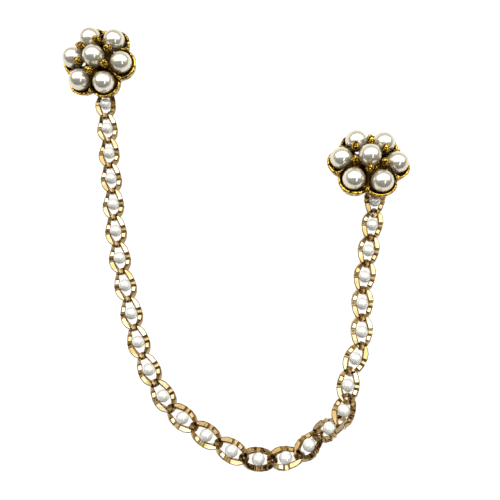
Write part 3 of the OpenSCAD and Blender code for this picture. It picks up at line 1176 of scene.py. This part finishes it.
def pin_stem(sizes, hinge, length):
    """The stem from the hinge, drawn out to a point in three steps past this length."""
    axis = -sizes.stem_drop
    stem = rod(sizes.stem / 2, length, 16, (hinge + 0.7 * MM + length / 2, 0, axis), ALONG_X)
    edit(stem)
    pick(stem, "FACE", lambda f: f.normal.x > 0.9)
    for run, width in ((0.5, 0.72), (0.4, 0.6), (0.3, 0.4)):
        extrude(x=run * MM)
        stretch(1, width, width, about=(0, 0, axis))
    done()
    return stem


def catch_strip(x, axis):
    """The catch: a strip bent round the stem, open to one side, and its foot under the bar."""
    width, thickness, bend = 1.6 * MM, 0.32 * MM, 0.64 * MM
    top = (x, 0, axis + bend)
    bpy.ops.mesh.primitive_plane_add(size=1, location=top)
    hook = settle()
    edit(hook)
    stretch(width, thickness, 1, about=top)
    bpy.ops.transform.rotate(value=math.pi / 2, orient_axis="X", center_override=top)
    bpy.ops.mesh.spin(steps=20, angle=math.radians(270), center=(x, 0, axis), axis=(1, 0, 0))
    close_ends()
    done()
    tidy(hook)
    foot = block((width, 0.9 * MM, 1.3 * MM), (x, 0, -1.05 * MM))
    edit(foot)
    pick(foot, "FACE", lambda f: f.normal.z > 0.9)
    stretch(1, 1.9, 1, about=(x, 0, 0))
    done()
    soften(foot, 0.06 * MM, 1, sharp=30)
    return [hook, foot]


def bar_pin(sizes):
    """The pin behind a flower: a bar, a hinge with its rivet, the stem, closed, and its catch."""
    hinge = -sizes.bar / 2 + 1.2 * MM
    catch = sizes.bar / 2 - 2.4 * MM
    axis = -sizes.stem_drop
    bar = stamped_bar(sizes)
    lugs = [hinge_lug(hinge, end * (sizes.bar_width / 2 - 0.25 * MM)) for end in (1, -1)]
    pivot = (hinge, 0, axis)
    rivet = rod(0.36 * MM, sizes.bar_width + 0.24 * MM, 20, pivot, ALONG_Y)
    soften(rivet, 0.1 * MM, 3)
    eye = wire_ring(0.55 * MM, 0.5 * MM, 28, 12, pivot, ALONG_Y)
    edit(eye)
    # The wire is thicker across than round its eye
    stretch(1, 1.5, 1, about=pivot)
    done()
    stem = pin_stem(sizes, hinge, catch - hinge + 2 * MM)
    return shade(joined([bar, *lugs, rivet, eye, stem, *catch_strip(catch, axis)]), 40)


class PIN_OT_bar_pins(bpy.types.Operator):
    """The bar pin behind each flower: bar, hinge, catch and stem"""

    bl_idname = "pin.bar_pins"
    bl_label = "Bar pins"

    def execute(self, context):
        sizes = context.scene.pin_sizes
        level = -sizes.floor_low - 0.05 * MM

        def under_floor(fit):
            return moved(0, 0, level) @ turned(fit["bar_to"]) @ moved(fit["bar_shift"] * MM, 0, 0)

        on_flowers(bar_pin(sizes), "pin_back", "plain_gold", "bar_pin", under_floor)
        return {"FINISHED"}


# ------------ stage


class PIN_OT_stage(bpy.types.Operator):
    """The white card, the soft light from above and behind, and the camera"""

    bl_idname = "pin.stage"
    bl_label = "Stage, light and camera"

    def execute(self, context):
        scene = context.scene
        bpy.ops.mesh.primitive_grid_add(x_subdivisions=8, y_subdivisions=8, size=8)
        card = settle()
        card.name = "white_card"
        card.data.materials.append(white_card("white_card", [*scene.pin_tones.card, 1], 1.06))

        # The room is dark in front, where the camera is, and paler behind the pin
        world = bpy.data.worlds.new("studio")
        world.use_nodes = True
        world.node_tree.nodes.clear()
        way = add_node(world, "ShaderNodeTexCoord")
        axes = add_node(world, "ShaderNodeSeparateXYZ", {"Vector": way.outputs["Generated"]})
        pale = add_node(
            world,
            "ShaderNodeMapRange",
            {"Value": axes.outputs["Y"], "From Min": -0.6, "From Max": 0.9, "To Min": 0.04, "To Max": 0.45},
        )
        grey = {"Color": (1, 1, 1, 1), "Strength": pale.outputs["Result"]}
        room = add_node(world, "ShaderNodeBackground", grey)
        add_node(world, "ShaderNodeOutputWorld", {"Surface": room.outputs["Background"]})
        scene.world = world

        # A wide softbox overhead, which ends a little in front of the zenith
        self.soft_light("softbox", 8, (2, 0.64), 0.5, tilt=-22, swing=0)
        # A tall, narrow window in front, the bright notch under the pearls' highlight
        self.soft_light("front_window", 0.21, (0.05, 0.28), 0.5, tilt=27, swing=25)

        # The photo is taken 14 degrees off the vertical, from the side of the chain's bottom
        eye = bpy.data.cameras.new("camera")
        eye.lens, eye.sensor_width = 39.6, 36
        eye.clip_start, eye.clip_end = 0.01, 20
        camera = bpy.data.objects.new("camera", eye)
        camera.location = (6.1 * MM, -46.45 * MM, 166 * MM)
        camera.rotation_euler = (math.radians(14), 0, 0)
        scene.collection.objects.link(camera)
        scene.camera = camera
        scene.view_settings.view_transform = "Standard"
        return {"FINISHED"}

    def soft_light(self, name, watts, size, distance, tilt, swing):
        """A rectangular light that faces the pin. tilt leans it from the zenith to the front."""
        lamp = bpy.data.lights.new(name, "AREA")
        lamp.shape = "RECTANGLE"
        lamp.size, lamp.size_y = size
        lamp.energy = watts
        holder = bpy.data.objects.new(name, lamp)
        turn = Euler((math.radians(tilt), math.radians(swing), 0)).to_matrix().to_4x4()
        holder.matrix_world = turn @ moved(0, 0, distance)
        bpy.context.scene.collection.objects.link(holder)


# ------------ panel and start


class PIN_PT_panel(bpy.types.Panel):
    """The pieces of the pin, their sizes and their colours"""

    bl_label = "Pearl chain lapel pin"
    bl_idname = "PIN_PT_panel"
    bl_space_type = "VIEW_3D"
    bl_region_type = "UI"
    bl_category = "Pearl pin"

    def draw(self, context):
        for operator in OPERATORS:
            self.layout.operator(operator.bl_idname)
        for group in (context.scene.pin_sizes, context.scene.pin_tones):
            column = self.layout.column()
            for name in group.bl_rna.properties.keys():
                if name not in ("rna_type", "name"):
                    column.prop(group, name)


OPERATORS = (
    PIN_OT_flower_pearls,
    PIN_OT_chain_pearls,
    PIN_OT_links,
    PIN_OT_petal_rims,
    PIN_OT_setting_floors,
    PIN_OT_claws,
    PIN_OT_chain_rings,
    PIN_OT_bar_pins,
    PIN_OT_stage,
)
CLASSES = (PinSizes, PinTones, *OPERATORS, PIN_PT_panel)


def register():
    for cls in CLASSES:
        bpy.utils.register_class(cls)
    bpy.types.Scene.pin_sizes = PointerProperty(type=PinSizes)
    bpy.types.Scene.pin_tones = PointerProperty(type=PinTones)


def unregister():
    del bpy.types.Scene.pin_tones
    del bpy.types.Scene.pin_sizes
    for cls in reversed(CLASSES):
        bpy.utils.unregister_class(cls)


def main():
    register()
    bpy.ops.pin.flower_pearls()
    bpy.ops.pin.chain_pearls()
    bpy.ops.pin.links()
    bpy.ops.pin.petal_rims()
    bpy.ops.pin.setting_floors()
    bpy.ops.pin.claws()
    bpy.ops.pin.chain_rings()
    bpy.ops.pin.bar_pins()
    bpy.ops.pin.stage()


if __name__ == "__main__":
    main()
